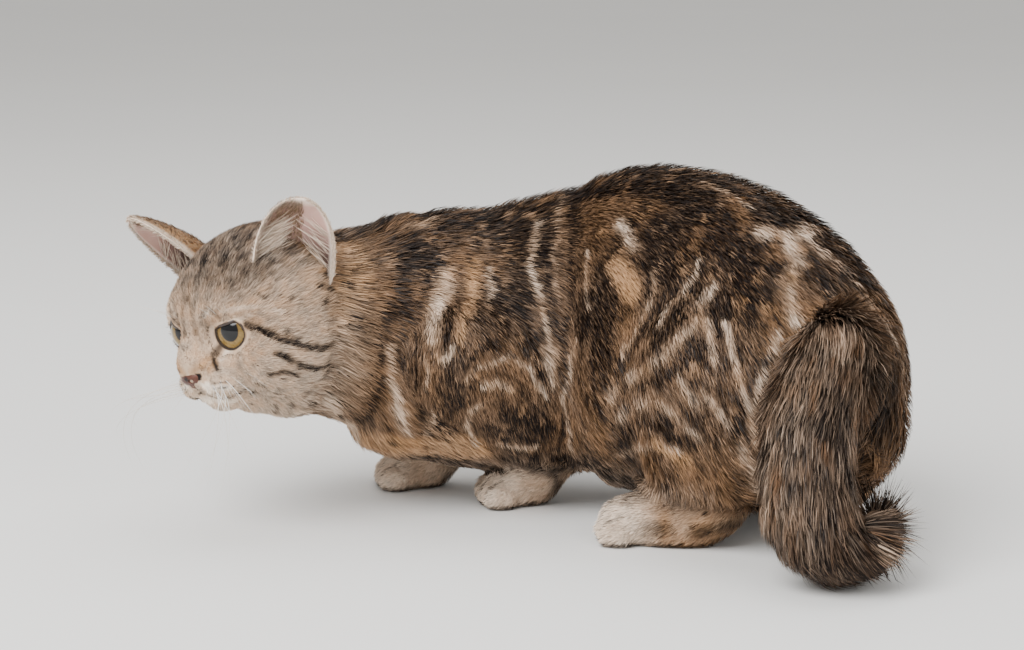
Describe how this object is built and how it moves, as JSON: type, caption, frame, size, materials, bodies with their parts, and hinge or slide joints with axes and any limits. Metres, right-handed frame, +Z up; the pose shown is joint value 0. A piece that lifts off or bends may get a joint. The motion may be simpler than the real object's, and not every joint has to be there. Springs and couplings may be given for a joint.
{
  "type": "munchkin cat",
  "caption": "Life-size brown tabby munchkin cat in a low crouch, short legs, body curled to its left, head turned and bushy tail hanging to the floor.",
  "frame": {"origin": "middle of the whole model's box in plan, at the floor", "axes": "the cat's body runs along Y with its head towards -Y, its left side towards +X, +Z up"},
  "size_m": [0.2368, 0.372, 0.1688],
  "materials": {
    "face_coat": "short soft hair",
    "nape_coat": "short soft hair",
    "body_coat": "marbled tabby hair",
    "leg_coat": "banded short hair",
    "paw_coat": "short soft hair",
    "tail_coat": "long hair",
    "ear": "thin skin with fine hair",
    "eye": "wet gloss",
    "nose": "moist satin"
  },
  "bodies": {
    "root": {"head": "face_coat", "neck": "nape_coat", "torso": "body_coat", "foreleg_left": "leg_coat", "foreleg_right": "leg_coat", "forepaw_left": "paw_coat", "forepaw_right": "paw_coat", "hind_leg_left": "body_coat", "hind_leg_right": "body_coat", "hind_foot_left": "paw_coat", "hind_foot_right": "paw_coat", "tail": "tail_coat", "ear_left": "ear", "ear_right": "ear", "eye_left": "eye", "eye_right": "eye", "nose": "nose"}
  },
  "joints": []
}
